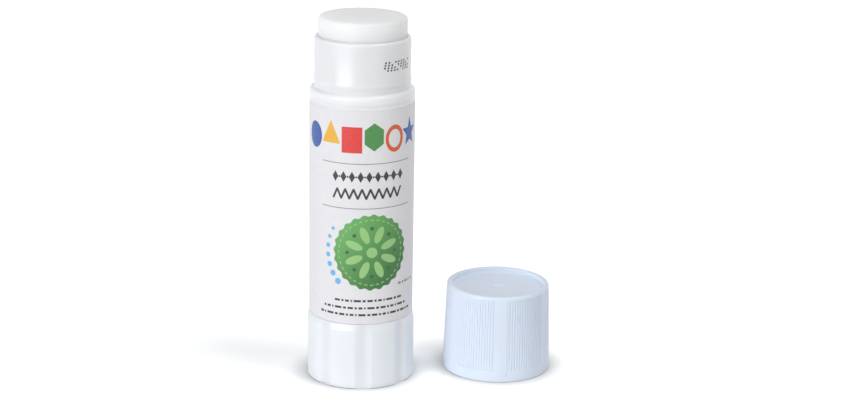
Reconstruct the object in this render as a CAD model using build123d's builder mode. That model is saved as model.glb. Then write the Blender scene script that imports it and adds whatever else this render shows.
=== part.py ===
from build123d import *
from math import cos, radians, sin

import os

# A twist-up glue stick, with its cap taken off and standing beside it. All lengths are millimetres.
# The stick's axis is Z and its base stands on z = 0. The cap stands mouth down along +X.
# The barrel and its label stay still, the knob turns the lead screw in them, and the screw lifts the
# carrier with the glue. The model shows the glue raised a little out of the neck.
os.makedirs("parts", exist_ok=True)

# Glue
glue_radius = 10.4
glue_protrusion = 4.55
glue_edge_round = 0.5
glue_clearance = 0.15
glue_bore_clearance = 0.3
glue_tip_cover = 0.5

# Barrel walls
neck_wall = 0.85
body_wall = 1.85
spigot_wall = 1.1
collar_step = 0.055

# Barrel heights, from the foot of the spigot upwards
spigot_gap = 0.4
spigot_chamfer = 0.4
barrel_floor = 1.2
skirt_gap = 0.15
label_inset = 0.1
label_length = 51.65
label_land = 0.45
groove_height = 0.9
groove_depth = 0.125
groove_slope = 0.18
collar_height = 2.05
shoulder_round_share = 0.95
neck_height = 12.15
rim_outer_round = 0.65
rim_inner_round = 0.2

# Snap bead round the neck, which the cap clicks over
bead_rise = 2.0
bead_half_height = 0.85
bead_height = 0.15

# Guide ribs inside the barrel, which keep the carrier from turning
guide_count = 4
guide_phase = 45.0
guide_width = 1.0
guide_depth = 0.45
guide_stop = 8.65
guide_clearance = 0.1

# Label
label_thickness = 0.1
label_lap_start = 85.0
label_lap_angle = 15.0

# Twist knob
knob_height = 16.2
knob_wall = 1.23
knob_clearance = 0.07
knob_floor = 1.5
knob_shoulder_height = 1.6
knob_shoulder_inset = 0.42
knob_rim_round = 0.25
knob_edge_round = 0.4
knob_foot_width = 3.4
knob_foot_recess = 0.5
hub_height = 5.35
hub_wall = 1.5
hub_gap = 0.15
web_count = 6
web_thickness = 1.0
web_height = 3.2
web_clearance = 0.4
flute_count = 8
flute_phase = -5.8
flute_angle = 17.5
flute_depth = 0.5

# Lead screw, with a left-hand thread, so that a clockwise turn seen from the base raises the glue
lead = 5.0
core_radius = 1.9
thread_depth = 1.0
thread_root_width = 2.4
thread_crest_width = 1.6
thread_runout = 1.0
thread_clearance = 0.25
journal_radius = 2.5
journal_clearance = 0.06
flange_radius = 4.5
flange_thickness = 1.0
flange_gap = 0.1
drive_sides = 6
drive_step = 0.1
drive_clearance = 0.02
tip_chamfer = 0.5

# Carrier
carrier_gap = 0.2
carrier_wall = 1.0
carrier_plate = 1.2
carrier_cup_depth = 5.0
carrier_lip_height = 0.8
carrier_lip_depth = 0.2
carrier_clearance = 0.05
carrier_stop = 0.6
nut_depth = 6.8
nut_wall = 1.2
nut_turns = 0.9
fin_count = 4
fin_thickness = 0.8
fin_height = 3.0
retracted_depth = 1.3

# Cap
cap_distance = 33.93
cap_height = 21.37
cap_clearance = 0.1
cap_mouth_wall = 1.67
cap_top_wall = 0.95
cap_top_thickness = 1.4
cap_recess_depth = 1.2
cap_recess_rim = 1.4
cap_rim_round = 0.6
cap_edge_round = 0.3
cap_mouth_chamfer = 0.3
cap_corner_round = 0.8
dimple_radius = 1.5
dimple_depth = 0.35
snap_groove_clearance = 0.1
panel_count = 6
panel_phase = -88.6
rib_grooves = 15
rib_pitch_angle = 3.0
rib_groove_angle = 1.4
rib_groove_depth = 0.18
rib_bottom = 2.7
rib_top_margin = 0.97
band_angle = 11.6
band_height = 0.12
band_bottom = 1.5
band_top_margin = 0.7

# One overrun carries every cut past the face that it leaves by, and one sinks each raised piece in its wall
overrun = 1.0
root_overlap = 0.3

# Radii that follow from the walls and the fits
bore_radius = glue_radius + glue_clearance
neck_radius = bore_radius + neck_wall
bead_radius = neck_radius + bead_height
seat_radius = bore_radius + body_wall
collar_radius = seat_radius + collar_step
shoulder_round = shoulder_round_share * (collar_radius - neck_radius)
label_radius = seat_radius + label_thickness
spigot_radius = bore_radius + spigot_wall
guide_radius = bore_radius - guide_depth
knob_bore_radius = spigot_radius + knob_clearance
knob_radius = knob_bore_radius + knob_wall
floor_hole_radius = journal_radius + journal_clearance
drive_radius = journal_radius - drive_step
socket_radius = drive_radius + drive_clearance
hub_radius = socket_radius + hub_wall
crest_radius = core_radius + thread_depth
nut_bore_radius = crest_radius + thread_clearance
nut_radius = nut_bore_radius + nut_wall
glue_bore_radius = crest_radius + glue_bore_clearance
carrier_radius = bore_radius - carrier_clearance
cup_radius = carrier_radius - carrier_wall
cap_bore_radius = neck_radius + cap_clearance
cap_mouth_radius = cap_bore_radius + cap_mouth_wall
cap_top_radius = cap_bore_radius + cap_top_wall

# Heights, from the base upwards
spigot_bottom = knob_floor + spigot_gap
hub_top = knob_floor + hub_height
floor_bottom = hub_top + hub_gap
floor_top = floor_bottom + barrel_floor
flange_bottom = floor_top + flange_gap
flange_top = flange_bottom + flange_thickness
body_bottom = knob_height + skirt_gap
label_bottom = body_bottom + label_inset
label_top = label_bottom + label_length
groove_bottom = label_top + label_land
groove_top = groove_bottom + groove_height
shoulder_height = groove_top + collar_height
rim_height = shoulder_height + neck_height
bead_centre = shoulder_height + bead_rise
guide_top = rim_height - guide_stop

# The carrier's travel, down to the screw's flange and up until its cup is just below the rim
glue_top = rim_height + glue_protrusion
travel_down = glue_protrusion + retracted_depth
carrier_bottom = flange_top + carrier_gap + travel_down
plate_bottom = carrier_bottom + nut_depth
plate_top = plate_bottom + carrier_plate
cup_top = plate_top + carrier_cup_depth
travel_up = rim_height - carrier_stop - cup_top
screw_top = plate_top + travel_up
thread_bottom = flange_top + thread_runout + thread_root_width / 2
thread_top = screw_top - thread_runout - thread_root_width / 2


def axial_plane(angle, height=0):
    """A plane through the stick's axis, with its X axis pointing out at an angle and its Y axis up."""
    return Plane(
        origin=(0, 0, height),
        x_dir=(cos(radians(angle)), sin(radians(angle)), 0),
        z_dir=(sin(radians(angle)), -cos(radians(angle)), 0),
    )


def thread_width(radius):
    """How wide the screw's thread is at a radius."""
    taper = (thread_root_width - thread_crest_width) / thread_depth
    return thread_root_width - taper * (radius - core_radius)


def nut_width(radius):
    """How wide the nut's thread is at a radius, which fills the screw's gap but for the clearance."""
    return lead - thread_width(radius) - 2 * thread_clearance


def thread_outline(inner, inner_width, outer, outer_width):
    """The outline of a thread between two radii, centred on the sketch's X axis."""
    return Polyline(
        (inner, -inner_width / 2),
        (outer, -outer_width / 2),
        (outer, outer_width / 2),
        (inner, inner_width / 2),
        close=True,
    )


def corner_at(sketch, radius, height):
    """The corner of a section that lies at a radius and a height."""
    return sketch.vertices().sort_by_distance((radius, height))[0]


# Barrel: one moulding, with the spigot that the knob turns on, the floor that carries the screw, the body
# under the label, the rounded shoulder and the neck with its snap bead
with BuildPart() as barrel:
    with BuildSketch(Plane.XZ) as barrel_section:
        with BuildLine():
            Polyline(
                (neck_radius, bead_centre + bead_half_height),
                (neck_radius, rim_height),
                (bore_radius, rim_height),
                (bore_radius, floor_top),
                (floor_hole_radius, floor_top),
                (floor_hole_radius, floor_bottom),
                (bore_radius, floor_bottom),
                (bore_radius, spigot_bottom),
                (spigot_radius, spigot_bottom),
                (spigot_radius, body_bottom),
                (seat_radius, body_bottom),
                (seat_radius, label_top),
                (collar_radius, label_top),
                (collar_radius, groove_bottom),
                (collar_radius - groove_depth, groove_bottom + groove_slope),
                (collar_radius - groove_depth, groove_top - groove_slope),
                (collar_radius, groove_top),
                (collar_radius, shoulder_height),
                (neck_radius, shoulder_height),
                (neck_radius, bead_centre - bead_half_height),
            )
            ThreePointArc(
                (neck_radius, bead_centre - bead_half_height),
                (bead_radius, bead_centre),
                (neck_radius, bead_centre + bead_half_height),
            )
        make_face()
        fillet(corner_at(barrel_section, collar_radius, shoulder_height), radius=shoulder_round)
        fillet(corner_at(barrel_section, neck_radius, rim_height), radius=rim_outer_round)
        fillet(corner_at(barrel_section, bore_radius, rim_height), radius=rim_inner_round)
        chamfer(corner_at(barrel_section, spigot_radius, spigot_bottom), length=spigot_chamfer)
    revolve(axis=Axis.Z)
    with BuildSketch(Plane.XY.offset(floor_top)):
        with PolarLocations(bore_radius + root_overlap, guide_count, start_angle=guide_phase):
            Rectangle(guide_depth + root_overlap, guide_width, align=(Align.MAX, Align.CENTER))
    extrude(amount=guide_top - floor_top)
barrel.part.label = "barrel"
export_step(barrel.part, "parts/barrel.step")

# Label: one film round the body, its ends lapped at the back of the stick
with BuildPart() as label:
    with BuildSketch(Plane.XZ):
        with Locations((seat_radius, label_bottom)):
            Rectangle(label_thickness, label_length, align=(Align.MIN, Align.MIN))
    revolve(axis=Axis.Z)
    with BuildSketch(axial_plane(label_lap_start, label_bottom)):
        with Locations((seat_radius, 0)):
            Rectangle(2 * label_thickness, label_length, align=(Align.MIN, Align.MIN))
    revolve(axis=Axis.Z, revolution_arc=label_lap_angle)
label.part.label = "label"
export_step(label.part, "parts/label.step")

# Twist knob: a fluted wheel with a skirt round the barrel's spigot, and a hub that grips the screw
shoulder_start = knob_height - knob_shoulder_height
half_flute = radians(flute_angle / 2)
flute_floor_radius = knob_radius - flute_depth
flute_centre_radius = (knob_radius**2 - flute_floor_radius**2) / (
    2 * (knob_radius * cos(half_flute) - flute_floor_radius)
)
flute_cut_radius = flute_centre_radius - flute_floor_radius

with BuildPart() as twist_knob:
    with BuildSketch(Plane.XZ) as knob_section:
        with BuildLine():
            Polyline(
                (knob_radius - knob_shoulder_inset, knob_height),
                (knob_bore_radius, knob_height),
                (knob_bore_radius, knob_floor),
                (hub_radius, knob_floor),
                (hub_radius, hub_top),
                (0, hub_top),
                (0, knob_foot_recess),
                (knob_radius - knob_foot_width, knob_foot_recess),
                (knob_radius - knob_foot_width, 0),
                (knob_radius, 0),
                (knob_radius, shoulder_start),
                close=True,
            )
        make_face()
        knob_rim = corner_at(knob_section, knob_radius - knob_shoulder_inset, knob_height)
        fillet(knob_rim, radius=knob_rim_round)
        fillet(corner_at(knob_section, knob_radius, 0), radius=knob_edge_round)
    revolve(axis=Axis.Z)
    with BuildSketch(Plane.XY.offset(knob_floor)):
        with PolarLocations(hub_radius - root_overlap, web_count):
            Rectangle(
                guide_radius - web_clearance - hub_radius + root_overlap,
                web_thickness,
                align=(Align.MIN, Align.CENTER),
            )
    extrude(amount=web_height)
    with BuildSketch(Plane.XY.offset(knob_floor)):
        RegularPolygon(socket_radius, drive_sides)
    extrude(amount=hub_height + overrun, mode=Mode.SUBTRACT)
    with BuildSketch(Plane.XY.offset(-overrun)):
        with PolarLocations(flute_centre_radius, flute_count, start_angle=flute_phase):
            Circle(flute_cut_radius)
    extrude(amount=knob_height + 2 * overrun, mode=Mode.SUBTRACT)
twist_knob.part.label = "twist_knob"
export_step(twist_knob.part, "parts/twist_knob.step")

# Lead screw: the drive end in the knob's hub, the journal in the barrel's floor, the thrust flange on it,
# and the threaded rod up the middle of the glue
with BuildPart() as lead_screw:
    with BuildLine(Plane.XY.offset(thread_bottom)) as screw_helix:
        Helix(pitch=lead, height=thread_top - thread_bottom, radius=core_radius, lefthand=True)
    with BuildSketch(axial_plane(0, thread_bottom)):
        with BuildLine():
            thread_outline(
                core_radius - root_overlap,
                thread_width(core_radius - root_overlap),
                crest_radius,
                thread_crest_width,
            )
        make_face()
    sweep(path=screw_helix.line, is_frenet=True)
    with BuildSketch(Plane.XZ) as screw_section:
        with BuildLine():
            Polyline(
                (0, hub_top),
                (journal_radius, hub_top),
                (journal_radius, flange_bottom),
                (flange_radius, flange_bottom),
                (flange_radius, flange_top),
                (core_radius, flange_top),
                (core_radius, screw_top),
                (0, screw_top),
                close=True,
            )
        make_face()
        chamfer(corner_at(screw_section, core_radius, screw_top), length=tip_chamfer)
    revolve(axis=Axis.Z)
    with BuildSketch(Plane.XY.offset(knob_floor)):
        RegularPolygon(drive_radius, drive_sides)
    extrude(amount=hub_height)
lead_screw.part.label = "lead_screw"
export_step(lead_screw.part, "parts/lead_screw.step")

# The small fins on the carrier's plate that the glue is cast round, and the slots for the guide ribs
with BuildSketch(Plane.XY.offset(plate_top)) as grip_fins:
    with PolarLocations(nut_radius, fin_count):
        Rectangle(
            cup_radius + root_overlap - nut_radius,
            fin_thickness,
            align=(Align.MIN, Align.CENTER),
        )


def guide_slots(clearance):
    """The slots that clear the barrel's guide ribs, as a sketch on the plane in use."""
    with PolarLocations(guide_radius - clearance, guide_count, start_angle=guide_phase):
        Rectangle(
            guide_depth + clearance + overrun,
            guide_width + 2 * clearance,
            align=(Align.MIN, Align.CENTER),
        )


# The nut's thread, turned to where it stands midway between two turns of the screw's
nut_start = carrier_bottom + (nut_depth + carrier_plate - nut_turns * lead) / 2
nut_phase = 360 * (thread_bottom + lead / 2 - nut_start) / lead
with BuildPart() as nut_thread:
    with BuildLine(Plane.XY.offset(nut_start)) as nut_helix:
        Helix(pitch=lead, height=nut_turns * lead, radius=nut_bore_radius, lefthand=True)
    with BuildSketch(axial_plane(0, nut_start)):
        with BuildLine():
            thread_outline(
                core_radius + thread_clearance,
                nut_width(core_radius + thread_clearance),
                nut_bore_radius + root_overlap,
                nut_width(nut_bore_radius + root_overlap),
            )
        make_face()
    sweep(path=nut_helix.line, is_frenet=True)

# Carrier: the cup under the glue, with two wiping lips, slots for the guide ribs, and the nut below its plate
waist_radius = carrier_radius - carrier_lip_depth
with BuildPart() as carrier:
    with BuildSketch(Plane.XZ):
        with BuildLine():
            Polyline(
                (nut_bore_radius, carrier_bottom),
                (nut_radius, carrier_bottom),
                (nut_radius, plate_bottom),
                (cup_radius, plate_bottom),
                (cup_radius, carrier_bottom),
                (carrier_radius, carrier_bottom),
                (carrier_radius, carrier_bottom + carrier_lip_height),
                (waist_radius, carrier_bottom + carrier_lip_height),
                (waist_radius, cup_top - carrier_lip_height),
                (carrier_radius, cup_top - carrier_lip_height),
                (carrier_radius, cup_top),
                (cup_radius, cup_top),
                (cup_radius, plate_top),
                (nut_bore_radius, plate_top),
                close=True,
            )
        make_face()
    revolve(axis=Axis.Z)
    extrude(grip_fins.sketch, amount=fin_height)
    with BuildSketch(Plane.XY.offset(carrier_bottom)):
        guide_slots(guide_clearance)
    extrude(amount=cup_top - carrier_bottom, mode=Mode.SUBTRACT)
    add(nut_thread.part, rotation=(0, 0, nut_phase))
carrier.part.label = "carrier"
export_step(carrier.part, "parts/carrier.step")

# Glue: the bar cast into the carrier's cup, hollow round the screw, and slotted where the guide ribs run
glue_bore_top = screw_top + travel_down + glue_tip_cover
with BuildPart() as glue_mass:
    with BuildSketch(Plane.XZ) as glue_section:
        with BuildLine():
            Polyline(
                (glue_bore_radius, plate_top),
                (cup_radius, plate_top),
                (cup_radius, cup_top),
                (glue_radius, cup_top),
                (glue_radius, glue_top),
                (0, glue_top),
                (0, glue_bore_top),
                (glue_bore_radius, glue_bore_top),
                close=True,
            )
        make_face()
        fillet(corner_at(glue_section, glue_radius, glue_top), radius=glue_edge_round)
    revolve(axis=Axis.Z)
    extrude(grip_fins.sketch, amount=fin_height, mode=Mode.SUBTRACT)
    with BuildSketch(Plane.XY.offset(cup_top)):
        guide_slots(glue_clearance)
    extrude(amount=guide_top + travel_down + glue_clearance - cup_top, mode=Mode.SUBTRACT)
glue_mass.part.label = "glue_mass"
export_step(glue_mass.part, "parts/glue_mass.step")

# Cap: a tapered cup that stands mouth down, with a recessed top, a snap groove for the neck's bead, fine
# grooves in panels that leave ribs between them, and a raised plain band between each two panels
cap_place = (cap_distance, 0, 0)
recess_height = cap_height - cap_recess_depth
recess_radius = cap_top_radius - cap_recess_rim
ceiling_height = recess_height - cap_top_thickness
snap_bottom = bead_rise - bead_half_height
snap_top = bead_rise + bead_half_height
snap_radius = bead_radius + snap_groove_clearance
dimple_sphere_radius = (dimple_radius**2 + dimple_depth**2) / (2 * dimple_depth)
rib_top = cap_height - rib_top_margin
band_top = cap_height - band_top_margin
panel_angle = (rib_grooves - 1) * rib_pitch_angle + rib_groove_angle
band_start = (panel_angle + 360 / panel_count - band_angle) / 2


def cap_wall(height):
    """The radius of the cap's tapered outside at a height."""
    return cap_mouth_radius + (cap_top_radius - cap_mouth_radius) * height / cap_height


with BuildPart() as cap_groove:
    with BuildSketch(Plane.XZ):
        with BuildLine():
            Polyline(
                (cap_wall(rib_bottom) - rib_groove_depth, rib_bottom),
                (cap_wall(rib_bottom) + overrun, rib_bottom),
                (cap_wall(rib_top) + overrun, rib_top),
                (cap_wall(rib_top) - rib_groove_depth, rib_top),
                close=True,
            )
        make_face()
    revolve(axis=Axis.Z, revolution_arc=rib_groove_angle)

with BuildPart() as cap_band:
    with BuildSketch(Plane.XZ):
        with BuildLine():
            Polyline(
                (cap_wall(band_bottom) - root_overlap, band_bottom),
                (cap_wall(band_bottom) + band_height, band_bottom),
                (cap_wall(band_top) + band_height, band_top),
                (cap_wall(band_top) - root_overlap, band_top),
                close=True,
            )
        make_face()
    revolve(axis=Axis.Z, revolution_arc=band_angle)

with BuildPart(Plane(origin=cap_place)) as cap:
    with BuildSketch(Plane(origin=cap_place, x_dir=(1, 0, 0), z_dir=(0, -1, 0))) as cap_section:
        with BuildLine():
            Polyline(
                (cap_bore_radius, 0),
                (cap_mouth_radius, 0),
                (cap_top_radius, cap_height),
                (recess_radius, cap_height),
                (recess_radius, recess_height),
                (0, recess_height),
                (0, ceiling_height),
                (cap_bore_radius, ceiling_height),
                (cap_bore_radius, snap_top),
            )
            ThreePointArc(
                (cap_bore_radius, snap_top),
                (snap_radius, bead_rise),
                (cap_bore_radius, snap_bottom),
            )
            Line((cap_bore_radius, snap_bottom), (cap_bore_radius, 0))
        make_face()
        fillet(corner_at(cap_section, cap_top_radius, cap_height), radius=cap_rim_round)
        fillet(corner_at(cap_section, recess_radius, cap_height), radius=cap_edge_round)
        fillet(corner_at(cap_section, cap_mouth_radius, 0), radius=cap_edge_round)
        fillet(corner_at(cap_section, cap_bore_radius, ceiling_height), radius=cap_corner_round)
        chamfer(corner_at(cap_section, cap_bore_radius, 0), length=cap_mouth_chamfer)
    revolve(axis=Axis(cap_place, (0, 0, 1)))
    with PolarLocations(0, panel_count, start_angle=panel_phase):
        add(cap_band.part, rotation=(0, 0, band_start))
        with PolarLocations(0, rib_grooves, angular_range=rib_grooves * rib_pitch_angle):
            add(cap_groove.part, mode=Mode.SUBTRACT)
    with Locations((0, 0, recess_height + dimple_sphere_radius - dimple_depth)):
        Sphere(dimple_sphere_radius, mode=Mode.SUBTRACT)
cap.part.label = "cap"
export_step(cap.part, "parts/cap.step")
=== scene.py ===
"""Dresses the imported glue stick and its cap, and sets up the floor, the light and the camera."""

import logging
import math
from contextlib import contextmanager
from dataclasses import dataclass, field
from enum import Enum
from typing import Callable, Iterator, Sequence

import bpy
import numpy as np
from mathutils import Matrix, Vector


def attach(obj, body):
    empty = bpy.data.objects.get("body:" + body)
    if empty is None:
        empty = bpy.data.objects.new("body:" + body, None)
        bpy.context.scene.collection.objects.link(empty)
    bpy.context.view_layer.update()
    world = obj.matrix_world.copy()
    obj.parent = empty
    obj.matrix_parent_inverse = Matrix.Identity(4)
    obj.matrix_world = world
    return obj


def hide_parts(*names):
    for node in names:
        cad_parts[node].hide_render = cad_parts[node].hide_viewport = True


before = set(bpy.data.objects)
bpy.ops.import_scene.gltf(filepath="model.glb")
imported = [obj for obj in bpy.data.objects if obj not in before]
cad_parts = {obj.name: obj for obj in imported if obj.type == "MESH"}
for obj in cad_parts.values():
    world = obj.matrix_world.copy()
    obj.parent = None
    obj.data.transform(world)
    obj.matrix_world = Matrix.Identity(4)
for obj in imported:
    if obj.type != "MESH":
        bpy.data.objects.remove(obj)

MM = 0.001
WELD = 0.002 * MM
ARC_STEPS = 6
SHARP = math.radians(32)
RING_WIDTH = 0.16
STAR_WAIST = 0.45
SCALLOP_WAIST = 0.93
LIT_GREEN = (0.15, 0.42, 0.12)

log = logging.getLogger("glue_stick")

Piece = bpy.types.Object
Material = bpy.types.Material
Tree = bpy.types.NodeTree
Node = bpy.types.Node
Socket = bpy.types.NodeSocket
Mask = Callable[[np.ndarray], np.ndarray]
Corner = Colour = Place = tuple[float, float, float]


# Working tools, which drive Blender's own operators on one piece at a time


def only(obj: Piece) -> None:
    """Makes one object the only one selected, and the active one.

    Args:
        obj: the object.
    """
    bpy.ops.object.select_all(action="DESELECT")
    obj.select_set(True)
    bpy.context.view_layer.objects.active = obj


@contextmanager
def editing(obj: Piece, chosen: Mask | None = None, kind: str = "VERT") -> Iterator[None]:
    """Opens an object in edit mode with a chosen part of it selected, and closes it again.

    Args:
        obj: the mesh object to edit.
        chosen: tells from the places in millimetres which elements to select, or None for all.
        kind: VERT, EDGE or FACE, the kind of element that is chosen and worked on.
    """
    only(obj)
    mesh = obj.data
    layers = {"VERT": mesh.vertices, "EDGE": mesh.edges, "FACE": mesh.polygons}
    for layer in layers.values():
        layer.foreach_set("select", np.zeros(len(layer), dtype=bool))
    if chosen is not None:
        layers[kind].foreach_set("select", chosen(places(obj, kind) / MM))
    bpy.ops.object.mode_set(mode="EDIT")
    bpy.ops.mesh.select_mode(type=kind)
    if chosen is None:
        bpy.ops.mesh.select_all(action="SELECT")
    yield
    bpy.ops.object.mode_set(mode="OBJECT")


def places(obj: Piece, kind: str) -> np.ndarray:
    """Gives where an object's vertices, edges or faces are.

    Args:
        obj: the mesh object to read.
        kind: VERT, EDGE or FACE.

    Returns:
        One row of x, y and z in metres for each element, at its middle.
    """
    mesh = obj.data
    if kind == "FACE":
        return np.array([face.center for face in mesh.polygons])
    points = np.array([vertex.co for vertex in mesh.vertices])
    if kind == "VERT":
        return points
    return points[np.array([edge.vertices for edge in mesh.edges])].mean(axis=1)


def around(points: np.ndarray, centre_x: float = 0.0) -> tuple[np.ndarray, np.ndarray]:
    """Gives the distance and the angle of points about an upright axis.

    Args:
        points: rows of x, y and z.
        centre_x: where the axis crosses the X axis, in the points' own unit.

    Returns:
        The distances, and the angles in degrees from 0 to 360.
    """
    x, y = points[:, 0] - centre_x, points[:, 1]
    return np.hypot(x, y), np.degrees(np.arctan2(y, x)) % 360


def rounded(corners: Sequence[Corner], closed: bool) -> list[Vector]:
    """Draws an outline through corners, with an arc at each corner that has a radius.

    Args:
        corners: x, z and the radius of the arc there, all in millimetres.
        closed: whether the outline comes back to its first corner.

    Returns:
        The outline's points in the XZ plane, in metres.
    """
    flat = [Vector((x, 0, z)) for x, z, _ in corners]
    points: list[Vector] = []
    for i, (_, _, radius) in enumerate(corners):
        here = flat[i]
        if radius == 0:
            points.append(here * MM)
            continue
        back, ahead = flat[i - 1] - here, flat[(i + 1) % len(flat)] - here
        half = back.angle(ahead) / 2
        back, ahead = back.normalized(), ahead.normalized()
        centre = here + (back + ahead).normalized() * (radius / math.sin(half))
        start = here + back * (radius / math.tan(half)) - centre
        end = here + ahead * (radius / math.tan(half)) - centre
        for k in range(ARC_STEPS + 1):
            points.append((centre + start.slerp(end, k / ARC_STEPS).normalized() * radius) * MM)
    if closed:
        points.append(points[0].copy())
    return points


def swelling(radius: float, depth: float, middle: float, half: float) -> list[Corner]:
    """Draws the section of a round bead or groove on an upright wall, from its foot to its top.

    Args:
        radius: the wall's radius in millimetres.
        depth: how far its middle stands off the wall.
        middle: the height of its middle.
        half: half its height.

    Returns:
        Its corners.
    """
    return [(radius + depth * math.cos(math.pi * k / 8), middle + half * k / 4, 0.0) for k in range(-4, 5)]


def traced(name: str, points: Sequence[Vector]) -> Piece:
    """Traces an outline by extruding one vertex from point to point.

    Args:
        name: what the new piece is called.
        points: the outline's points in metres.

    Returns:
        An object that holds the outline as a chain of edges.
    """
    bpy.ops.mesh.primitive_plane_add(size=MM)
    obj = bpy.context.object
    obj.name = obj.data.name = name
    with editing(obj):
        bpy.ops.mesh.merge(type="CENTER")
        bpy.ops.transform.translate(value=points[0])
        for here, there in zip(points, points[1:]):
            bpy.ops.mesh.extrude_verts_indiv()
            bpy.ops.transform.translate(value=there - here)
    return obj


def spun(
    name: str, corners: Sequence[Corner], turns: int, closed: bool = True, centre_x: float = 0.0
) -> Piece:
    """Turns a half section into a solid, as on a lathe.

    Args:
        name: what the new piece is called.
        corners: the half section's corners, as rounded takes them.
        turns: how many steps go round.
        closed: whether the half section is a ring, and not a line from pole to pole.
        centre_x: where the upright axis stands, in millimetres.

    Returns:
        The spun piece, with its faces outward.
    """
    obj = traced(name, rounded(corners, closed))
    with editing(obj):
        bpy.ops.mesh.spin(steps=turns, angle=math.tau, center=(centre_x * MM, 0, 0), axis=(0, 0, 1))
        bpy.ops.mesh.select_all(action="SELECT")
        bpy.ops.mesh.remove_doubles(threshold=WELD)
        bpy.ops.mesh.normals_make_consistent(inside=False)
    return obj


def block(middle: Place, size: Place) -> Piece:
    """Makes an upright block.

    Args:
        middle: where its middle stands, in millimetres.
        size: its size along each axis, in millimetres.

    Returns:
        The block.
    """
    bpy.ops.mesh.primitive_cube_add(size=MM, location=[at * MM for at in middle], scale=size)
    obj = bpy.context.object
    settled(obj)
    return obj


def cut_level(obj: Piece, levels: Sequence[float], chosen: Mask) -> None:
    """Runs level cuts round the chosen faces of a piece.

    Args:
        obj: the piece to cut.
        levels: the heights of the cuts in millimetres.
        chosen: tells from the places of the faces which of them are cut.
    """
    for level in levels:
        with editing(obj, chosen, "FACE"):
            bpy.ops.mesh.bisect(plane_co=(0, 0, level * MM), plane_no=(0, 0, 1))


def scale_round(obj: Piece, chosen: Mask, factor: float, centre_x: float) -> None:
    """Brings chosen vertices nearer to an upright axis or further from it.

    Args:
        obj: the piece to shape.
        chosen: tells which vertices move.
        factor: how far they are from the axis afterwards, for 1 before.
        centre_x: where the axis stands, in millimetres.
    """
    with editing(obj, chosen):
        bpy.ops.transform.resize(value=(factor, factor, 1), center_override=(centre_x * MM, 0, 0))


def turned(obj: Piece, angle: float) -> None:
    """Turns a whole piece about the stick's axis, counterclockwise seen from above.

    Args:
        obj: the piece to turn.
        angle: by how many degrees.
    """
    obj.matrix_world = Matrix.Rotation(math.radians(angle), 4, "Z") @ obj.matrix_world
    settled(obj)


def settled(obj: Piece) -> None:
    """Puts an object's place, turn and size into its mesh."""
    only(obj)
    bpy.ops.object.transform_apply(location=True, rotation=True, scale=True)


def ringed(first: Piece, count: int, start: float) -> list[Piece]:
    """Copies a piece into an even ring about the stick's axis.

    Args:
        first: the piece, which becomes the first of the ring.
        count: how many pieces the ring has.
        start: by how many degrees the first one is turned.

    Returns:
        The pieces of the ring.
    """
    pieces = [first]
    for _ in range(count - 1):
        only(first)
        bpy.ops.object.duplicate()
        pieces.append(bpy.context.object)
    for k, piece in enumerate(pieces):
        turned(piece, start + 360 / count * k)
    return pieces


def joined(pieces: Sequence[Piece], name: str) -> Piece:
    """Joins pieces into the first of them.

    Args:
        pieces: the pieces, which become one object.
        name: what the joined piece is called.

    Returns:
        The joined piece.
    """
    only(pieces[0])
    for piece in pieces[1:]:
        piece.select_set(True)
    if len(pieces) > 1:
        bpy.ops.object.join()
    pieces[0].name = pieces[0].data.name = name
    return pieces[0]


def applied(obj: Piece, kind: str, **settings: object) -> None:
    """Adds a modifier with some settings and applies it.

    Args:
        obj: the piece that it works on.
        kind: the modifier's type.
        settings: its settings by name.
    """
    only(obj)
    modifier = obj.modifiers.new(kind.title(), kind)
    for key, value in settings.items():
        setattr(modifier, key, value)
    bpy.ops.object.modifier_apply(modifier=modifier.name)


def fitted(obj: Piece, finish: Material, slot: str, body: str, *nodes: str) -> None:
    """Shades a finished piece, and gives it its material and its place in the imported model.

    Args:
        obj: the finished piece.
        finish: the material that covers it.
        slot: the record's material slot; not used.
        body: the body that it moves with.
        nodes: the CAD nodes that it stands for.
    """
    only(obj)
    bpy.ops.object.shade_smooth_by_angle(angle=SHARP)
    obj.data.materials.clear()
    obj.data.materials.append(finish)
    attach(obj, body)
    if nodes:
        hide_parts(*nodes)
    log.info("%s: %d faces, on %s", obj.name, len(obj.data.polygons), body)


# Finishes


def fed(tree: Tree, node: Node, inputs: dict[str, object]) -> Node:
    """Sets a node's inputs, which are named in small letters.

    Args:
        tree: the node tree that holds the node.
        node: the node.
        inputs: a value, or another node's output to link, for each input.

    Returns:
        The node.
    """
    for key, value in inputs.items():
        socket = next(s for s in node.inputs if s.enabled and s.name.lower().replace(" ", "_") == key)
        if isinstance(value, Socket):
            tree.links.new(value, socket)
        else:
            socket.default_value = value
    return node


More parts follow.
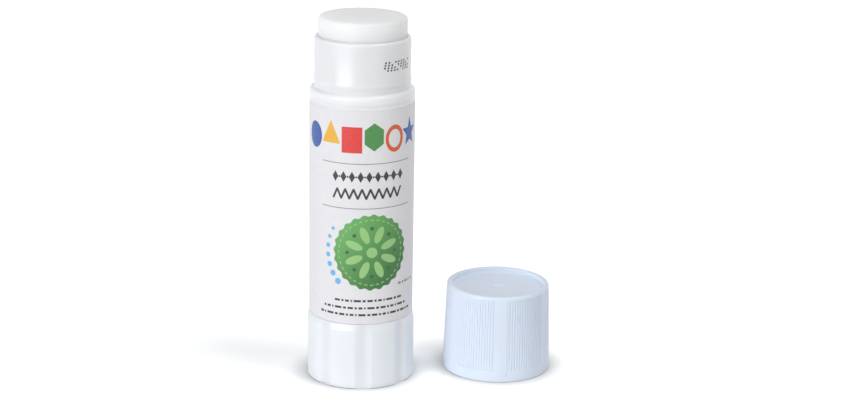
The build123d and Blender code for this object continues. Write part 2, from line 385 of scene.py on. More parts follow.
class Sheet:
    """The node sheet of one new material, with its surface shader in place."""

    def __init__(self, name: str) -> None:
        """Starts a material with a Principled shader and Object coordinates.

        Args:
            name: what the material is called.
        """
        self.material = bpy.data.materials.new(name)
        self.material.use_nodes = True
        self.tree = self.material.node_tree
        self.shader = self.tree.nodes["Principled BSDF"]
        self.where = self.add("ShaderNodeTexCoord").outputs["Object"]

    def add(self, kind: str, **inputs: object) -> Node:
        """Adds a node of some kind, and sets its inputs by name."""
        return fed(self.tree, self.tree.nodes.new(kind), inputs)

    def noise(self, size: float, detail: float = 3.0, stretch: Sequence[float] = (1, 1, 1)) -> Socket:
        """Adds a noise pattern.

        Args:
            size: the size of one grain in millimetres.
            detail: how many finer layers it has.
            stretch: how many grains go along each axis, for one at the plain size.

        Returns:
            The output that carries the pattern's strength.
        """
        placed = self.add("ShaderNodeMapping", vector=self.where, scale=stretch)
        node = self.add("ShaderNodeTexNoise", vector=placed.outputs[0], scale=1 / (size * MM), detail=detail)
        return node.outputs[0]

    def between(self, amount: Socket, low: float, high: float) -> Socket:
        """Spreads a pattern's middle range between two numbers.

        Args:
            amount: the pattern.
            low: the number where the pattern is weak.
            high: the number where it is strong.

        Returns:
            The output that carries the number.
        """
        ends = {"from_min": 0.3, "from_max": 0.7, "to_min": low, "to_max": high}
        return self.add("ShaderNodeMapRange", value=amount, **ends).outputs[0]

    def mixed(self, amount: Socket, first: Colour, second: Colour) -> Socket:
        """Mixes two colours by a pattern.

        Args:
            amount: the pattern that chooses between them.
            first: red, green and blue where the pattern is 0.
            second: red, green and blue where it is 1.

        Returns:
            The output that carries the colour.
        """
        node = self.tree.nodes.new("ShaderNodeMix")
        node.data_type = "RGBA"
        self.tree.links.new(amount, node.inputs[0])
        node.inputs[6].default_value = (*first, 1)
        node.inputs[7].default_value = (*second, 1)
        return node.outputs[2]

    def bump(self, height: Socket, depth: float, below: Socket | None = None) -> Socket:
        """Raises the surface by a pattern.

        Args:
            height: the pattern.
            depth: its depth in millimetres.
            below: the normal of a coarser bump under this one.

        Returns:
            The output that carries the normal.
        """
        node = self.add("ShaderNodeBump", height=height, distance=depth * MM, strength=1.0)
        if below is not None:
            self.tree.links.new(below, node.inputs["Normal"])
        return node.outputs[0]

    def wire(self, **inputs: object) -> None:
        """Sets the surface shader's inputs by name."""
        fed(self.tree, self.shader, inputs)


@dataclass(frozen=True)
class MouldedPlastic:
    """Pale moulded plastic with slight clouding, flow lines and a fine skin."""

    name: str
    colour: Colour
    cloud: Colour
    gloss: float = 0.32
    skin: float = 0.0006
    coat: float = 0.15
    glow: float = 0.12
    depth: float = 1.2
    shine: float = 0.5

    def material(self) -> Material:
        """Builds the material from its nodes.

        Returns:
            The material.
        """
        sheet = Sheet(self.name)
        clouds = sheet.between(sheet.noise(9.0, 3.0, (1, 1, 0.4)), 0.0, 1.0)
        wear = sheet.between(sheet.noise(3.2, 2.0), self.gloss - 0.03, self.gloss + 0.05)
        flow = sheet.bump(sheet.noise(6.0, 1.0, (1, 1, 0.3)), self.skin * 12)
        grain = sheet.bump(sheet.noise(0.7, 1.0), self.skin, flow)
        sheet.wire(
            base_color=sheet.mixed(clouds, self.colour, self.cloud),
            roughness=wear,
            normal=grain,
            specular_ior_level=self.shine,
            coat_weight=self.coat,
            coat_roughness=0.12,
            subsurface_weight=self.glow,
            subsurface_radius=(0.9, 0.95, 1.0),
            subsurface_scale=self.depth * MM,
            ior=1.49,
        )
        return sheet.material


@dataclass(frozen=True)
class LabelFilm:
    """Printed film with a soft sheen and the faint mottle of its coating."""

    name: str
    colour: Colour
    mottle: Colour
    gloss: float = 0.5
    shine: float = 0.25

    def material(self) -> Material:
        """Builds the material from its nodes.

        Returns:
            The material.
        """
        sheet = Sheet(self.name)
        tone = sheet.between(sheet.noise(1.6, 5.0), 0.0, 1.0)
        sheen = sheet.between(sheet.noise(0.7, 3.0), self.gloss - 0.06, self.gloss + 0.08)
        ripple = sheet.bump(sheet.noise(5.0, 2.0, (1, 1, 0.5)), 0.012)
        sheet.wire(
            base_color=sheet.mixed(tone, self.colour, self.mottle),
            roughness=sheen,
            normal=sheet.bump(sheet.noise(0.2, 2.0), 0.001, ripple),
            specular_ior_level=self.shine,
            ior=1.46,
        )
        return sheet.material


@dataclass(frozen=True)
class PrintInk:
    """Flat printing ink, a little uneven where it lies thin; a lit one pales towards the upper left."""

    name: str
    colour: Colour
    thin: float = 0.05
    lit: Colour | None = None
    fade_way: Place = (-0.9, 0.0, 1.0)
    fade_start: float = 0.024
    fade_end: float = 0.046

    def material(self) -> Material:
        """Builds the material from its nodes.

        Returns:
            The material.
        """
        sheet = Sheet(self.name)
        pale = tuple(c + (0.8 - c) * self.thin for c in self.colour)
        laid = sheet.between(sheet.noise(0.35, 4.0), 0.0, 1.0)
        tone = sheet.mixed(laid, self.colour, pale)
        if self.lit:
            slope = sheet.add("ShaderNodeVectorMath", vector=sheet.where)
            slope.operation = "DOT_PRODUCT"
            slope.inputs[1].default_value = self.fade_way
            ends = {"from_min": self.fade_start, "from_max": self.fade_end}
            height = sheet.add("ShaderNodeMapRange", value=slope.outputs["Value"], **ends)
            lit = sheet.mixed(height.outputs[0], self.colour, self.lit)
            sheet.tree.links.new(tone, lit.node.inputs[6])
            tone = lit
        sheet.wire(
            base_color=tone,
            roughness=sheet.between(sheet.noise(0.6, 2.0), 0.36, 0.5),
            normal=sheet.bump(sheet.noise(0.2, 2.0), 0.001),
            ior=1.48,
        )
        return sheet.material


@dataclass(frozen=True)
class GlueWax:
    """Firm pale glue, slightly see-through, with drag marks and pits from use."""

    name: str
    colour: Colour
    deep: Colour
    glow: float = 0.8
    depth: float = 5.0

    def material(self) -> Material:
        """Builds the material from its nodes.

        Returns:
            The material.
        """
        sheet = Sheet(self.name)
        milk = sheet.between(sheet.noise(3.0, 4.0), 0.0, 1.0)
        drag = sheet.bump(sheet.noise(0.9, 3.0, (0.35, 1.4, 1)), 0.03)
        sheet.wire(
            base_color=sheet.mixed(milk, self.colour, self.deep),
            roughness=sheet.between(sheet.noise(1.2, 3.0), 0.38, 0.55),
            normal=sheet.bump(sheet.noise(0.25, 3.0), 0.006, drag),
            subsurface_weight=self.glow,
            subsurface_radius=(1.0, 0.95, 0.85),
            subsurface_scale=self.depth * MM,
            ior=1.45,
        )
        return sheet.material


class Ink(Enum):
    """The inks of the label's print."""

    RED = (0.72, 0.035, 0.03)
    YELLOW = (0.83, 0.45, 0.035)
    BLUE = (0.03, 0.10, 0.36)
    ORANGE = (0.68, 0.10, 0.012)
    LEAF = (0.06, 0.25, 0.06)
    GREEN = (0.03, 0.16, 0.03)
    LIME = (0.30, 0.56, 0.20)
    MOSS = (0.02, 0.10, 0.02)
    SKY = (0.14, 0.45, 0.78)
    GREY = (0.24, 0.235, 0.245)
    BLACK = (0.02, 0.018, 0.022)

    def finish(self) -> Material:
        """Gives this ink's material, made once."""
        name, lit = f"ink_{self.name.lower()}", LIT_GREEN if self is Ink.GREEN else None
        return bpy.data.materials.get(name) or PrintInk(name, self.value, lit=lit).material()

    def over(self) -> bool:
        """Tells whether this ink is printed over another one."""
        return self in (Ink.LIME, Ink.MOSS)


# The stick


@dataclass
class Barrel:
    """The white moulding that the label wraps, with its neck, snap bead, floor and spigot (millimetres)."""

    bore: float = 10.55
    neck: float = 11.4
    bead: float = 0.15
    seat: float = 12.4
    collar: float = 12.455
    spigot: float = 11.65
    hole: float = 2.56
    spigot_foot: float = 1.9
    floor_foot: float = 7.0
    floor_top: float = 8.2
    body_foot: float = 16.22
    label_top: float = 68.1
    groove_foot: float = 68.55
    groove_top: float = 69.45
    groove_depth: float = 0.125
    groove_slope: float = 0.18
    shoulder: float = 71.5
    shoulder_round: float = 1.0
    bead_middle: float = 73.5
    bead_half: float = 0.85
    rim: float = 83.65
    guide_top: float = 75.0
    guide_depth: float = 0.45
    guide_width: float = 1.0
    guide_root: float = 0.3
    guide_round: float = 0.12
    turns: int = 180
    finish: MouldedPlastic = MouldedPlastic(
        "barrel_plastic", (0.89, 0.90, 0.925), (0.87, 0.885, 0.91), coat=0.2, glow=0.4, depth=4.0
    )

    def outline(self) -> list[Corner]:
        """Draws the half section, from the rim down the outside and back up the bore.

        Returns:
            Its corners.
        """
        groove = self.collar - self.groove_depth
        return [
            (self.bore, self.rim, 0.2),
            (self.neck, self.rim, 0.65),
            *reversed(swelling(self.neck, self.bead, self.bead_middle, self.bead_half)),
            (self.neck, self.shoulder, 0.12),
            (self.collar, self.shoulder, self.shoulder_round - 0.15),
            (self.collar, self.groove_top, 0.06),
            (groove, self.groove_top - self.groove_slope, 0.06),
            (groove, self.groove_foot + self.groove_slope, 0.06),
            (self.collar, self.groove_foot, 0.06),
            (self.collar, self.label_top, 0.02),
            (self.seat, self.label_top, 0),
            (self.seat, self.body_foot, 0.08),
            (self.spigot, self.body_foot, 0),
            (self.spigot, self.spigot_foot, 0.35),
            (self.bore, self.spigot_foot, 0.1),
            (self.bore, self.floor_foot, 0),
            (self.hole, self.floor_foot, 0.05),
            (self.hole, self.floor_top, 0.05),
            (self.bore, self.floor_top, 0),
        ]

    def guides(self) -> list[Piece]:
        """Makes the four ribs inside that keep the carrier from turning.

        Returns:
            The ribs.
        """
        height = self.guide_top - self.floor_top
        face, deep = self.bore - self.guide_depth, self.guide_depth + self.guide_root
        rib = block((face + deep / 2, 0, self.floor_top + height / 2), (deep, self.guide_width, height))
        with editing(rib, lambda p: (p[:, 0] < face + 0.01) & (np.abs(p[:, 1]) > 0.4), "EDGE"):
            bpy.ops.mesh.bevel(offset=self.guide_round * MM, segments=3)
        return ringed(rib, 4, 45)

    def build(self) -> None:
        """Makes the barrel and puts it in the model."""
        shell = spun("barrel_shell", self.outline(), self.turns)
        shell = joined([shell, *self.guides()], "barrel_shell")
        fitted(shell, self.finish.material(), "barrel_plastic", "body", "barrel")


@dataclass
class Knob:
    """The fluted wheel at the foot, which turns the lead screw (millimetres)."""

    radius: float = 12.95
    height: float = 16.2
    bore: float = 11.72
    floor: float = 1.5
    shoulder_height: float = 1.6
    shoulder_inset: float = 0.42
    foot_width: float = 3.4
    foot_recess: float = 0.5
    hub: float = 3.92
    hub_top: float = 6.85
    socket: float = 2.35
    web_reach: float = 9.7
    web_thickness: float = 1.0
    web_height: float = 3.2
    web_root: float = 0.3
    web_round: float = 0.15
    webs: int = 6
    flutes: int = 8
    flute_phase: float = -5.8
    flute_angle: float = 17.5
    flute_depth: float = 0.5
    turns: int = 288
    finish: MouldedPlastic = MouldedPlastic(
        "knob_plastic", (0.885, 0.93, 0.995), (0.87, 0.92, 0.99),
        gloss=0.4, coat=0.1, glow=0.4, depth=4.0, shine=0.9,
    )

    def outline(self) -> list[Corner]:
        """Draws the half section, from the socket's floor out under the foot and up the outside.

        Returns:
            Its corners.
        """
        return [
            (0, self.floor, 0),
            (0, self.foot_recess, 0),
            (self.radius - self.foot_width, self.foot_recess, 0.15),
            (self.radius - self.foot_width, 0, 0.2),
            (self.radius, 0, 0.4),
            (self.radius, self.height - self.shoulder_height, 0.5),
            (self.radius - self.shoulder_inset, self.height, 0.22),
            (self.bore, self.height, 0.1),
            (self.bore, self.floor, 0.3),
            (self.hub, self.floor, 0.3),
            (self.hub, self.hub_top, 0.1),
            (self.socket, self.hub_top, 0.1),
            (self.socket, self.floor, 0),
        ]

    def flute(self, wheel: Piece) -> None:
        """Cuts the finger flutes into the wheel's outside with upright round columns.

        Args:
            wheel: the spun wheel.
        """
        half = math.radians(self.flute_angle / 2)
        deepest = self.radius - self.flute_depth
        centre = (self.radius**2 - deepest**2) / (2 * (self.radius * math.cos(half) - deepest))
        bpy.ops.mesh.primitive_cylinder_add(
            vertices=128,
            radius=(centre - deepest) * MM,
            depth=(self.height + 2) * MM,
            location=(centre * MM, 0, self.height / 2 * MM),
        )
        column = bpy.context.object
        settled(column)
        cutter = joined(ringed(column, self.flutes, self.flute_phase), "flute_columns")
        applied(wheel, "BOOLEAN", operation="DIFFERENCE", object=cutter, solver="EXACT")
        bpy.data.objects.remove(cutter)

    def spokes(self) -> list[Piece]:
        """Makes the webs that stand between the hub and the barrel's spigot.

        Returns:
            The webs.
        """
        start = self.hub - self.web_root
        web = block(
            ((start + self.web_reach) / 2, 0, self.floor + self.web_height / 2 - 0.1),
            (self.web_reach - start, self.web_thickness, self.web_height + 0.2),
        )
        top, end = self.floor + self.web_height - 0.3, self.web_reach - 0.1
        with editing(web, lambda p: (p[:, 2] > top) | (p[:, 0] > end), "EDGE"):
            bpy.ops.mesh.bevel(offset=self.web_round * MM, segments=3)
        return ringed(web, self.webs, 0)

    def build(self) -> None:
        """Makes the knob and puts it in the model."""
        wheel = spun("knob_wheel", self.outline(), self.turns, closed=False)
        self.flute(wheel)
        wheel = joined([wheel, *self.spokes()], "knob_wheel")
        fitted(wheel, self.finish.material(), "knob_plastic", "knob", "twist_knob")


@dataclass
class Glue:
    """The bar of glue, hollow round the screw and slotted where the barrel's guides run (millimetres)."""

    radius: float = 10.5
    top: float = 88.2
    edge: float = 0.8
    foot: float = 23.35
    cup_top: float = 28.35
    cup: float = 9.5
    bore: float = 3.2
    bore_top: float = 84.4
    slot_depth: float = 0.55
    slot_width: float = 1.2
    slot_top: float = 81.0
    slot_round: float = 0.2
    wall_cuts: tuple[float, float] = (84.6, 82.0)
    turns: int = 144
    finish: GlueWax = GlueWax("glue", (0.89, 0.89, 0.895), (0.865, 0.865, 0.865))

    def outline(self) -> list[Corner]:
        """Draws the half section, from the middle of the top down the outside and up the bore.

        Returns:
            Its corners.
        """
        return [
            (0, self.top, 0),
            (self.radius, self.top, self.edge),
            (self.radius, self.cup_top, 0),
            (self.cup, self.cup_top, 0),
            (self.cup, self.foot, 0),
            (self.bore, self.foot, 0),
            (self.bore, self.bore_top, 0.4),
            (0, self.bore_top, 0),
        ]

    def slots(self, bar: Piece) -> None:
        """Cuts the four guide slots into the bar's side.

        Args:
            bar: the spun bar.
        """
        height = self.slot_top - self.cup_top
        cutter = block(
            (self.radius - self.slot_depth + 1, 0, self.cup_top + height / 2 - 0.5),
            (2, self.slot_width, height + 1),
        )
        with editing(cutter, lambda p: (p[:, 2] > self.slot_top - 0.1) & (p[:, 0] < self.radius), "EDGE"):
            bpy.ops.mesh.bevel(offset=self.slot_round * MM, segments=3)
        for k in range(4):
            turned(cutter, 45 if k == 0 else 90)
            applied(bar, "BOOLEAN", operation="DIFFERENCE", object=cutter, solver="EXACT")
        bpy.data.objects.remove(cutter)

    def build(self) -> None:
        """Makes the bar of glue and puts it in the model."""
        bar = spun("glue_bar", self.outline(), self.turns, closed=False)
        cut_level(bar, self.wall_cuts, lambda p: around(p)[0] > self.radius - 0.3)
        self.slots(bar)
        fitted(bar, self.finish.material(), "glue", "glue", "glue_mass")


@dataclass
class InnerWorks:
    """The carrier and the lead screw, which keep their solids and get their own finish."""

    carrier: MouldedPlastic = MouldedPlastic(
        "carrier_plastic", (0.80, 0.80, 0.78), (0.76, 0.765, 0.75), gloss=0.42, coat=0.0
    )
    screw: MouldedPlastic = MouldedPlastic(
        "screw_plastic", (0.82, 0.82, 0.80), (0.78, 0.785, 0.77), gloss=0.36, coat=0.0
    )

    def dress(self) -> None:
        """Gives both nodes their materials."""
        for node, finish in (("carrier", self.carrier), ("lead_screw", self.screw)):
            material = finish.material()
            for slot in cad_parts[node].material_slots:
                slot.material = material
            log.info("%s: keeps its solid, dressed in %s", node, finish.name)


# The label and its print


@dataclass
class Wrap:
    """How flat work is laid round the stick: its radius (mm) and its middle's bearing (degrees)."""

    radius: float
    facing: float = -8.574

    def lay(self, obj: Piece) -> None:
        """Bends a flat piece that stands in the XZ plane round the stick.

        Args:
            obj: the flat piece, its middle line at x = 0.
        """
        points = places(obj, "VERT")
        width = float(points[:, 0].max() - points[:, 0].min())
        applied(obj, "SIMPLE_DEFORM", deform_method="BEND", deform_axis="Z", angle=width / (self.radius * MM))
        obj.location.y -= self.radius * MM
        settled(obj)
        turned(obj, self.facing)


@dataclass
class Label:
    """The film round the barrel, its end lapped over its start at the back (millimetres)."""

    seat: float = 12.4
    thickness: float = 0.1
    foot: float = 16.3
    top: float = 68.1
    lap_start: float = 85.0
    lap: float = 15.0
    lap_step: float = 0.7
    slack: float = 0.004
    columns: int = 250
    finish: LabelFilm = LabelFilm("label_film", (0.815, 0.80, 0.82), (0.785, 0.775, 0.795))

    def build(self) -> None:
        """Makes the label and puts it in the model."""
        middle = self.seat + self.thickness / 2
        degree = math.radians(1) * middle
        width = (360 + self.lap) * degree
        bpy.ops.mesh.primitive_grid_add(
            x_subdivisions=self.columns, y_subdivisions=2, size=MM, rotation=(math.pi / 2, 0, 0),
            location=(0, 0, (self.foot + self.top) / 2 * MM),
        )
        film = bpy.context.object
        film.name = film.data.name = "label_sheet"
        film.scale = (width, self.top - self.foot, 1)
        settled(film)
        with editing(film, lambda p: p[:, 0] > width / 2 - (self.lap - self.lap_step) * degree):
            bpy.ops.transform.translate(value=(0, -(self.thickness + self.slack) * MM, 0))
        applied(film, "SOLIDIFY", thickness=(self.thickness - self.slack) * MM, offset=0.0)
        with editing(film):
            bpy.ops.mesh.normals_make_consistent(inside=False)
        Wrap(middle, self.lap_start + (360 + self.lap) / 2 + 90).lay(film)
        fitted(film, self.finish.material(), "label_film", "body", "label")


class Motif(Enum):
    """The plain shapes of the print: a name, the number of corners and the first corner's angle for each."""

    DISC = ("disc", 48, 0)
    RING = ("ring", 48, 0)
    SQUARE = ("square", 4, 45)
    TRIANGLE = ("triangle", 3, 90)
    STAR = ("star", 10, 90)
    HEXAGON = ("hexagon", 6, 90)
    DIAMOND = ("diamond", 4, 0)
    BAR = ("bar", 4, 45)
    SCALLOP = ("scallop", 144, 0)

    def draw(self, x: float, z: float, width: float, height: float, turn: float = 0.0) -> Piece:
        """Draws the shape flat, facing the front.

        Args:
            x: the middle's place across, in millimetres.
            z: the middle's height in millimetres.
            width: its width in millimetres.
            height: its height in millimetres.
            turn: by how many degrees it is turned, counterclockwise seen from the front.

        Returns:
            The flat piece in the XZ plane.
        """
        _, sides, start = self.value
        bpy.ops.mesh.primitive_circle_add(vertices=sides, radius=0.5 * MM, fill_type="NGON")
        shape = bpy.context.object
        shape.rotation_euler.z = math.radians(start - 90)
        settled(shape)
        if self is Motif.STAR:
            with editing(shape, lambda p: (around(p)[1] - 90 + 18) % 72 > 36):
                bpy.ops.transform.resize(value=(STAR_WAIST, STAR_WAIST, 1))
        if self is Motif.SCALLOP:
            with editing(shape, lambda p: (around(p)[1] - 90) % 15 < 7.6):
                bpy.ops.transform.resize(value=(SCALLOP_WAIST, SCALLOP_WAIST, 1))
            with editing(shape):
                bpy.ops.mesh.vertices_smooth(factor=0.5, repeat=2)
        if self is Motif.RING:
            with editing(shape, None, "FACE"):
                bpy.ops.mesh.inset(thickness=RING_WIDTH * MM)
                bpy.ops.mesh.delete(type="FACE")
        if self in (Motif.SQUARE, Motif.BAR):
            width, height = width * math.sqrt(2), height * math.sqrt(2)
        shape.scale = (width, height, 1)
        settled(shape)
        shape.matrix_world = (
            Matrix.Translation((x * MM, 0, z * MM))
            @ Matrix.Rotation(-math.radians(turn), 4, "Y")
            @ Matrix.Rotation(math.pi / 2, 4, "X")
        )
        settled(shape)
        return shape


@dataclass
class Print:
    """The print on the label, laid as thin ink over the film (millimetres along the label and up)."""

    film: float = 12.5
    neck: float = 11.4
    proud: float = 0.018
    over_print: float = 0.014
    sunk: float = 0.03
    strip: float = 0.6
    band_start: float = -13.0
    band_pitch: float = 5.3
    band_level: float = 61.6
    badge: tuple[float, float] = (2.55, 34.05)
    shapes: dict[Ink, list[Piece]] = field(default_factory=dict)

    def put(
        self, ink: Ink, motif: Motif, x: float, z: float, width: float, height: float, turn: float = 0.0
    ) -> None:
        """Draws one shape in one ink."""
        self.shapes.setdefault(ink, []).append(motif.draw(x, z, width, height, turn))

    def colour_band(self) -> None:
        """Draws the row of plain coloured shapes under the shoulder."""
        row = [
            (Ink.BLUE, Motif.DISC, 5.0, 6.3),
            (Ink.YELLOW, Motif.TRIANGLE, 5.9, 7.2),
            (Ink.RED, Motif.SQUARE, 4.9, 6.2),
            (Ink.LEAF, Motif.HEXAGON, 5.3, 6.7),
            (Ink.ORANGE, Motif.RING, 5.1, 6.5),
            (Ink.BLUE, Motif.STAR, 5.9, 7.2),
        ]
        for k, (ink, motif, width, height) in enumerate(row):
            x, z = self.band_start + self.band_pitch * k, self.band_level + (0.4 if k % 2 else -0.3)
            self.put(ink, motif, x, z, width, height)

    def rules(self) -> None:
        """Draws the two fine rules, and the ornament rows between them."""
        for z in (55.6, 44.8):
            self.put(Ink.GREY, Motif.BAR, 1.5, z, 23.4, 0.18)
        for k in range(9):
            self.put(Ink.BLACK, Motif.DIAMOND, -6.4 + 2.05 * k, 52.45, 1.5, 2.6)
            if k < 8:
                self.put(Ink.BLACK, Motif.DISC, -5.38 + 2.05 * k, 52.45, 0.45, 0.45)
        for k in range(17):
            self.put(Ink.BLACK, Motif.BAR, -6.4 + 1.0 * k, 48.35, 0.5, 2.7, 24 if k % 2 else -24)

    def rosette(self) -> None:
        """Draws the scalloped green badge with its stitched ring and its petals, and the blue dots by it."""
        x, z = self.badge
        half_gap = 0.393

        def at(reach: float, angle: float) -> tuple[float, float]:
            """Gives the place at a distance and an angle, in radians, from the badge's middle."""
            return x + reach * math.cos(angle), z + reach * math.sin(angle)

        self.put(Ink.GREEN, Motif.SCALLOP, x, z, 19.0, 19.0)
        for k in range(36):
            self.put(Ink.LIME, Motif.BAR, *at(8.0, math.radians(10 * k)), 0.24, 0.8, 10 * k)
        for k in range(8):
            turn = 45 * k + 22.5
            self.put(Ink.LIME, Motif.DISC, *at(4.6, math.radians(turn)), 4.3, 1.9, turn)
            self.put(Ink.MOSS, Motif.DISC, *at(5.9, math.radians(turn) + half_gap), 0.9, 0.9)
        self.put(Ink.LIME, Motif.DISC, x, z, 2.6, 2.6)
        for k in range(7):
            size = 0.9 + 0.1 * k
            self.put(Ink.SKY, Motif.DISC, *at(11.0, math.radians(150 + 12 * k)), size, size)
        for k, wide in enumerate((0.9, 0.5, 1.1, 0.4, 0.8)):
            self.put(Ink.GREY, Motif.BAR, 10.2 + 1.25 * k, 25.5, wide, 0.55)

    def small_rows(self) -> None:
        """Draws the fine rows of dashes near the label's foot."""
        for row, (z, first, last) in enumerate(((22.1, -6.4, 11.0), (20.3, -9.4, 12.6), (18.6, -10.6, 13.4))):
            at, k = first, row
            while at < last:
                wide = (1.3, 0.5, 0.9, 0.35, 1.7, 0.7)[k % 6]
                self.put(Ink.BLACK, Motif.BAR, at + wide / 2, z, wide, 0.52)
                at, k = at + wide + 0.42, k + 1

    def neck_marks(self) -> list[Piece]:
        """Draws the slanted strokes of small dots that stand on the neck.

        Returns:
            The flat dots.
        """
        dots = []
        for k in range(9):
            for row in range(4):
                if (k + row) % 5:
                    dots.append(Motif.DISC.draw(5.2 + 0.95 * k + 0.12 * row, 77.2 + 0.62 * row, 0.46, 0.46))
        return dots

    def press(self, name: str, ink: Ink, shapes: list[Piece], radius: float, slot: str) -> None:
        """Turns the flat shapes of one ink into a thin layer round the stick.

        Args:
            name: what the layer is called.
            ink: the ink that they are printed in.
            shapes: the flat shapes.
            radius: the radius of the surface that they are printed on, in millimetres.
            slot: the record's material slot.
        """
        sheet = joined(shapes, name)
        proud = self.proud + (self.over_print if ink.over() else 0)
        points = places(sheet, "VERT")[:, 0] / MM
        first, last = math.ceil(points.min() / self.strip), math.floor(points.max() / self.strip)
        for k in range(first, last + 1):
            with editing(sheet, None, "FACE"):
                bpy.ops.mesh.bisect(plane_co=(k * self.strip * MM, 0, 0), plane_no=(1, 0, 0))
        applied(sheet, "SOLIDIFY", thickness=(proud + self.sunk) * MM, offset=0.0)
        with editing(sheet):
            bpy.ops.mesh.normals_make_consistent(inside=False)
            bpy.ops.transform.translate(value=(0, (self.sunk - proud) / 2 * MM, 0))
        Wrap(radius).lay(sheet)
        fitted(sheet, ink.finish(), slot, "body")

    def build(self) -> None:
        """Draws all of the print and presses it ink by ink."""
        self.colour_band()
        self.rules()
        self.rosette()
        self.small_rows()
        for ink, shapes in self.shapes.items():
            self.press(f"print_{ink.name.lower()}", ink, shapes, self.film, "label_film")
        self.press("neck_marks", Ink.BLACK, self.neck_marks(), self.neck, "barrel_plastic")


# The cap


@dataclass
class Cap:
    """The cap that stands mouth down beside the stick (millimetres, angles in degrees about its own axis)."""

    axis: float = 33.93
    height: float = 21.37
    bore: float = 11.5
    mouth: float = 13.17
    top: float = 12.45
    recess: float = 11.05
    recess_floor: float = 20.17
    ceiling: float = 18.77
    snap_middle: float = 2.0
    snap_half: float = 0.85
    snap_depth: float = 0.15
    dimple: float = 1.5
    dimple_depth: float = 0.5
    panels: int = 6
    panel_phase: float = -88.5
    grooves: int = 15
    groove_step: float = 3.0
    groove_depth: float = 0.18
    groove_foot: float = 2.7
    groove_top: float = 20.4
    groove_end: float = 0.2
    groove_bed: tuple[float, float] = (0.5, 1.0)
    band_angle: float = 11.5
    band_after: float = 46.0
    band_height: float = 0.12
    band_foot: float = 1.5
    band_top: float = 20.67
    band_edge: float = 0.12
    turns: int = 720
    finish: MouldedPlastic = MouldedPlastic(
        "cap_plastic", (0.745, 0.815, 0.925), (0.725, 0.80, 0.915), gloss=0.42, coat=0.0, shine=0.2
    )

    def outline(self) -> list[Corner]:
        """Draws the half section, from the dimple over the rim, down the outside and up the bore.

        Returns:
            Its corners.
        """
        sphere = (self.dimple**2 + self.dimple_depth**2) / (2 * self.dimple_depth)
        dip = [
            (r, self.recess_floor - self.dimple_depth + sphere - math.sqrt(sphere**2 - r**2), 0.0)
            for r in (0.0, 0.3, 0.6, 0.9, 1.2, self.dimple)
        ]
        corners = [
            *dip,
            (self.recess, self.recess_floor, 0.25),
            (self.recess, self.height, 0.3),
            (self.top, self.height, 0.6),
            (self.mouth, 0, 0.3),
            (self.bore + 0.3, 0, 0.08),
            (self.bore, 0.3, 0.08),
            *swelling(self.bore, self.snap_depth, self.snap_middle, self.snap_half),
            (self.bore, self.ceiling, 0.8),
            (0, self.ceiling, 0),
        ]
        return [(self.axis + x, z, r) for x, z, r in corners]

    def rib(self, shell: Piece) -> None:
        """Sinks the fine grooves of each panel and raises the plain bands between them.

        Args:
            shell: the spun cap.
        """
        middle, panel = (self.mouth + self.top) / 2, 360 / self.panels
        last = self.grooves * self.groove_step - 0.1

        def outside(p: np.ndarray, foot: float, top: float) -> tuple[np.ndarray, np.ndarray]:
            """Gives which vertices are on the outside between two heights, and their angles in a panel."""
            r, a = around(p, self.axis)
            return (r > self.bore + 0.4) & (p[:, 2] > foot) & (p[:, 2] < top), (a - self.panel_phase) % panel

        def grooved(p: np.ndarray) -> np.ndarray:
            """Tells which vertices are on the floor of a groove."""
            on, a = outside(p, self.groove_foot + 0.05, self.groove_top - 0.05)
            return on & (a < last) & np.isin(np.round(a % self.groove_step, 2), self.groove_bed)

        def banded(p: np.ndarray) -> np.ndarray:
            """Tells which vertices are on a raised band."""
            on, a = outside(p, self.band_foot + 0.05, self.band_top - 0.05)
            return on & (a > self.band_after - 0.1) & (a < self.band_after + self.band_angle + 0.1)

        low, foot, top, high = self.band_foot, self.groove_foot, self.groove_top, self.band_top
        end, edge = self.groove_end, self.band_edge
        levels = [low, low + edge, foot, foot + end, top - end, top, high - edge, high]
        cut_level(shell, levels, lambda p: around(p, self.axis)[0] > self.bore + 0.45)
        scale_round(shell, grooved, 1 - self.groove_depth / middle, self.axis)
        scale_round(shell, banded, 1 + self.band_height / middle, self.axis)

    def build(self) -> None:
        """Makes the cap and puts it in the model."""
        shell = spun("cap_shell", self.outline(), self.turns, closed=False, centre_x=self.axis)
        self.rib(shell)
        fitted(shell, self.finish.material(), "cap_plastic", "cap", "cap")


# Floor, light and camera


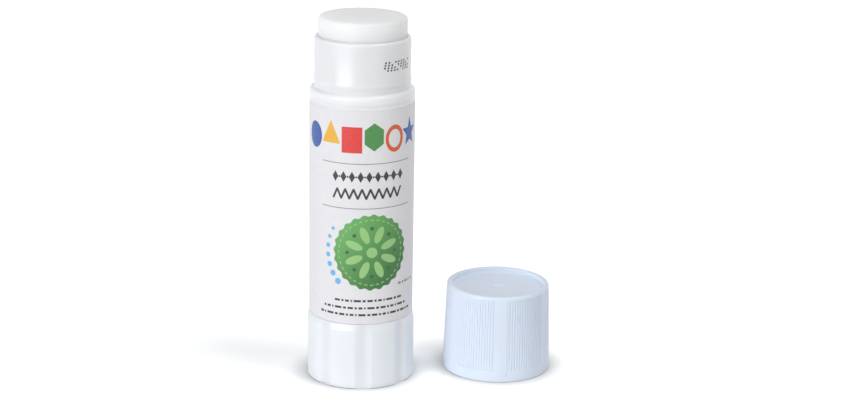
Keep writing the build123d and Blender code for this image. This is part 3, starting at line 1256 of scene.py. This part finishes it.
@dataclass
class Studio:
    """The plain white floor, the soft lamps and the camera of the photograph (metres)."""

    eye: Place = (-0.06993, -0.46384, 0.17986)
    ahead: Place = (0.174675, 0.943581, -0.281329)
    upward: Place = (0.034278, 0.279720, 0.959469)
    lens: float = 86.04
    floor_size: float = 8.0
    floor_gain: float = 1.05
    floor_glow: float = 0.32
    # How far the floor's painted contact shade reaches from the pieces, in metres.
    contact: float = 0.006
    ambient: float = 0.42
    swing: float = 0.10
    sky_tint: Colour = (0.96, 0.98, 1.0)
    sky_bright: tuple[float, float] = (-60, 25)

    def towards(self, bearing: float, height: float) -> Vector:
        """Gives the direction from the stick to a place in the studio.

        Args:
            bearing: in degrees to the right of the line from the stick to the camera.
            height: in degrees above the floor.

        Returns:
            The direction, one long.
        """
        side, rise = math.radians(bearing) + math.atan2(self.eye[1], self.eye[0]), math.radians(height)
        return Vector((math.cos(side) * math.cos(rise), math.sin(side) * math.cos(rise), math.sin(rise)))

    def chosen(self, tree: Tree, lit: Node, seen: Node, end: str) -> None:
        """Shows one shader to rays that look, also by reflection, and another to rays that carry light.

        Args:
            tree: the node tree of a material or of the world.
            lit: the shader for rays that carry light.
            seen: the shader for rays that look.
            end: what the tree's output node is called.
        """
        path = tree.nodes.new("ShaderNodeLightPath")
        looks = path.outputs["Is Camera Ray"]
        for ray in ("Is Glossy Ray", "Is Transmission Ray"):
            either = tree.nodes.new("ShaderNodeMath")
            either.operation = "MAXIMUM"
            tree.links.new(looks, either.inputs[0])
            tree.links.new(path.outputs[ray], either.inputs[1])
            looks = either.outputs[0]
        mix = tree.nodes.new("ShaderNodeMixShader")
        for k, source in enumerate((looks, lit.outputs[0], seen.outputs[0])):
            tree.links.new(source, mix.inputs[k])
        tree.links.new(mix.outputs[0], tree.nodes[end].inputs["Surface"])

    def floor(self) -> None:
        """Lays the floor, which shows white to the camera and keeps the soft shadows, with a painted contact
        shade that darkens its colour close to the pieces standing on it.
        """
        bpy.ops.mesh.primitive_plane_add(size=self.floor_size)
        floor = bpy.context.object
        floor.name = "studio_floor"
        sheet = Sheet("studio_floor")
        paper = sheet.add("ShaderNodeBsdfDiffuse", color=(0.8, 0.8, 0.8, 1))
        gain = self.floor_gain
        # Painted contact shade: an ambient occlusion colour darkens the floor's paint and glow within the
        # contact distance of the stick and the cap.
        painted_contact_shade = sheet.add("ShaderNodeAmbientOcclusion", color=(gain, gain, gain, 1), distance=self.contact)
        paint = sheet.add("ShaderNodeBsdfDiffuse", color=painted_contact_shade.outputs["Color"])
        glow = sheet.add("ShaderNodeEmission", color=painted_contact_shade.outputs["Color"], strength=self.floor_glow)
        seen = sheet.add("ShaderNodeAddShader", shader=paint.outputs[0])
        sheet.tree.links.new(glow.outputs[0], seen.inputs[1])
        self.chosen(sheet.tree, paper, seen, "Material Output")
        sheet.tree.nodes.remove(sheet.shader)
        floor.data.materials.append(sheet.material)

    def sky(self) -> None:
        """Sets the world: white where it is seen, and soft light that is stronger from the front left."""
        world = bpy.data.worlds.new("studio")
        bpy.context.scene.world = world
        world.use_nodes = True
        tree = world.node_tree
        way = tree.nodes.new("ShaderNodeTexCoord").outputs["Generated"]
        facing = fed(tree, tree.nodes.new("ShaderNodeVectorMath"), {"vector": way})
        facing.operation = "DOT_PRODUCT"
        facing.inputs[1].default_value = self.towards(*self.sky_bright)
        ends = {"from_min": -1, "to_min": self.ambient - self.swing, "to_max": self.ambient + self.swing}
        spread = fed(tree, tree.nodes.new("ShaderNodeMapRange"), {"value": facing.outputs["Value"], **ends})
        light = tree.nodes["Background"]
        fed(tree, light, {"color": (*self.sky_tint, 1), "strength": spread.outputs[0]})
        white = fed(tree, tree.nodes.new("ShaderNodeBackground"), {"color": (1, 1, 1, 1)})
        self.chosen(tree, light, white, "World Output")

    def lamp(
        self, name: str, bearing: float, height: float, level: float, spread: float, tint: Colour
    ) -> None:
        """Hangs a soft far lamp that lights everything evenly.

        Args:
            name: what the lamp is called.
            bearing: where it hangs, in degrees as for towards.
            height: how high it hangs, in degrees above the floor.
            level: how bright it makes a white surface that faces it.
            spread: how wide it looks from the stick, in degrees.
            tint: its colour.
        """
        light = bpy.data.lights.new(name, "SUN")
        light.energy = level * math.pi
        light.angle = math.radians(spread)
        light.color = tint
        lamp = bpy.data.objects.new(name, light)
        bpy.context.scene.collection.objects.link(lamp)
        place = self.towards(bearing, height)
        lamp.matrix_world = Matrix.Translation(place) @ place.to_track_quat("Z", "Y").to_matrix().to_4x4()

    def camera(self) -> None:
        """Stands the camera where the photograph was taken from."""
        ahead, upward = Vector(self.ahead).normalized(), Vector(self.upward)
        side = ahead.cross(upward).normalized()
        upward = side.cross(ahead)
        data = bpy.data.cameras.new("photo_camera")
        data.lens = self.lens
        data.sensor_width = 36.0
        data.clip_start = 0.01
        data.clip_end = 20.0
        camera = bpy.data.objects.new("photo_camera", data)
        bpy.context.scene.collection.objects.link(camera)
        turn = Matrix((side, upward, -ahead)).transposed()
        camera.matrix_world = Matrix.Translation(self.eye) @ turn.to_4x4()
        bpy.context.scene.camera = camera

    def build(self) -> None:
        """Sets up the whole studio."""
        self.floor()
        self.sky()
        self.lamp("right_lamp", bearing=65, height=60, level=0.32, spread=24, tint=(1.0, 0.985, 0.96))
        self.lamp("left_lamp", bearing=-42, height=3, level=0.80, spread=36, tint=(0.97, 0.985, 1.0))
        self.camera()
        bpy.context.scene.view_settings.view_transform = "Standard"


def main() -> None:
    """Builds the pieces in order and reports each one."""
    logging.basicConfig(level=logging.INFO, format="%(name)s %(message)s")
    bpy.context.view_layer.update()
    Studio().build()
    Barrel().build()
    Knob().build()
    Glue().build()
    InnerWorks().dress()
    Label().build()
    Print().build()
    Cap().build()


if __name__ == "__main__":
    main()
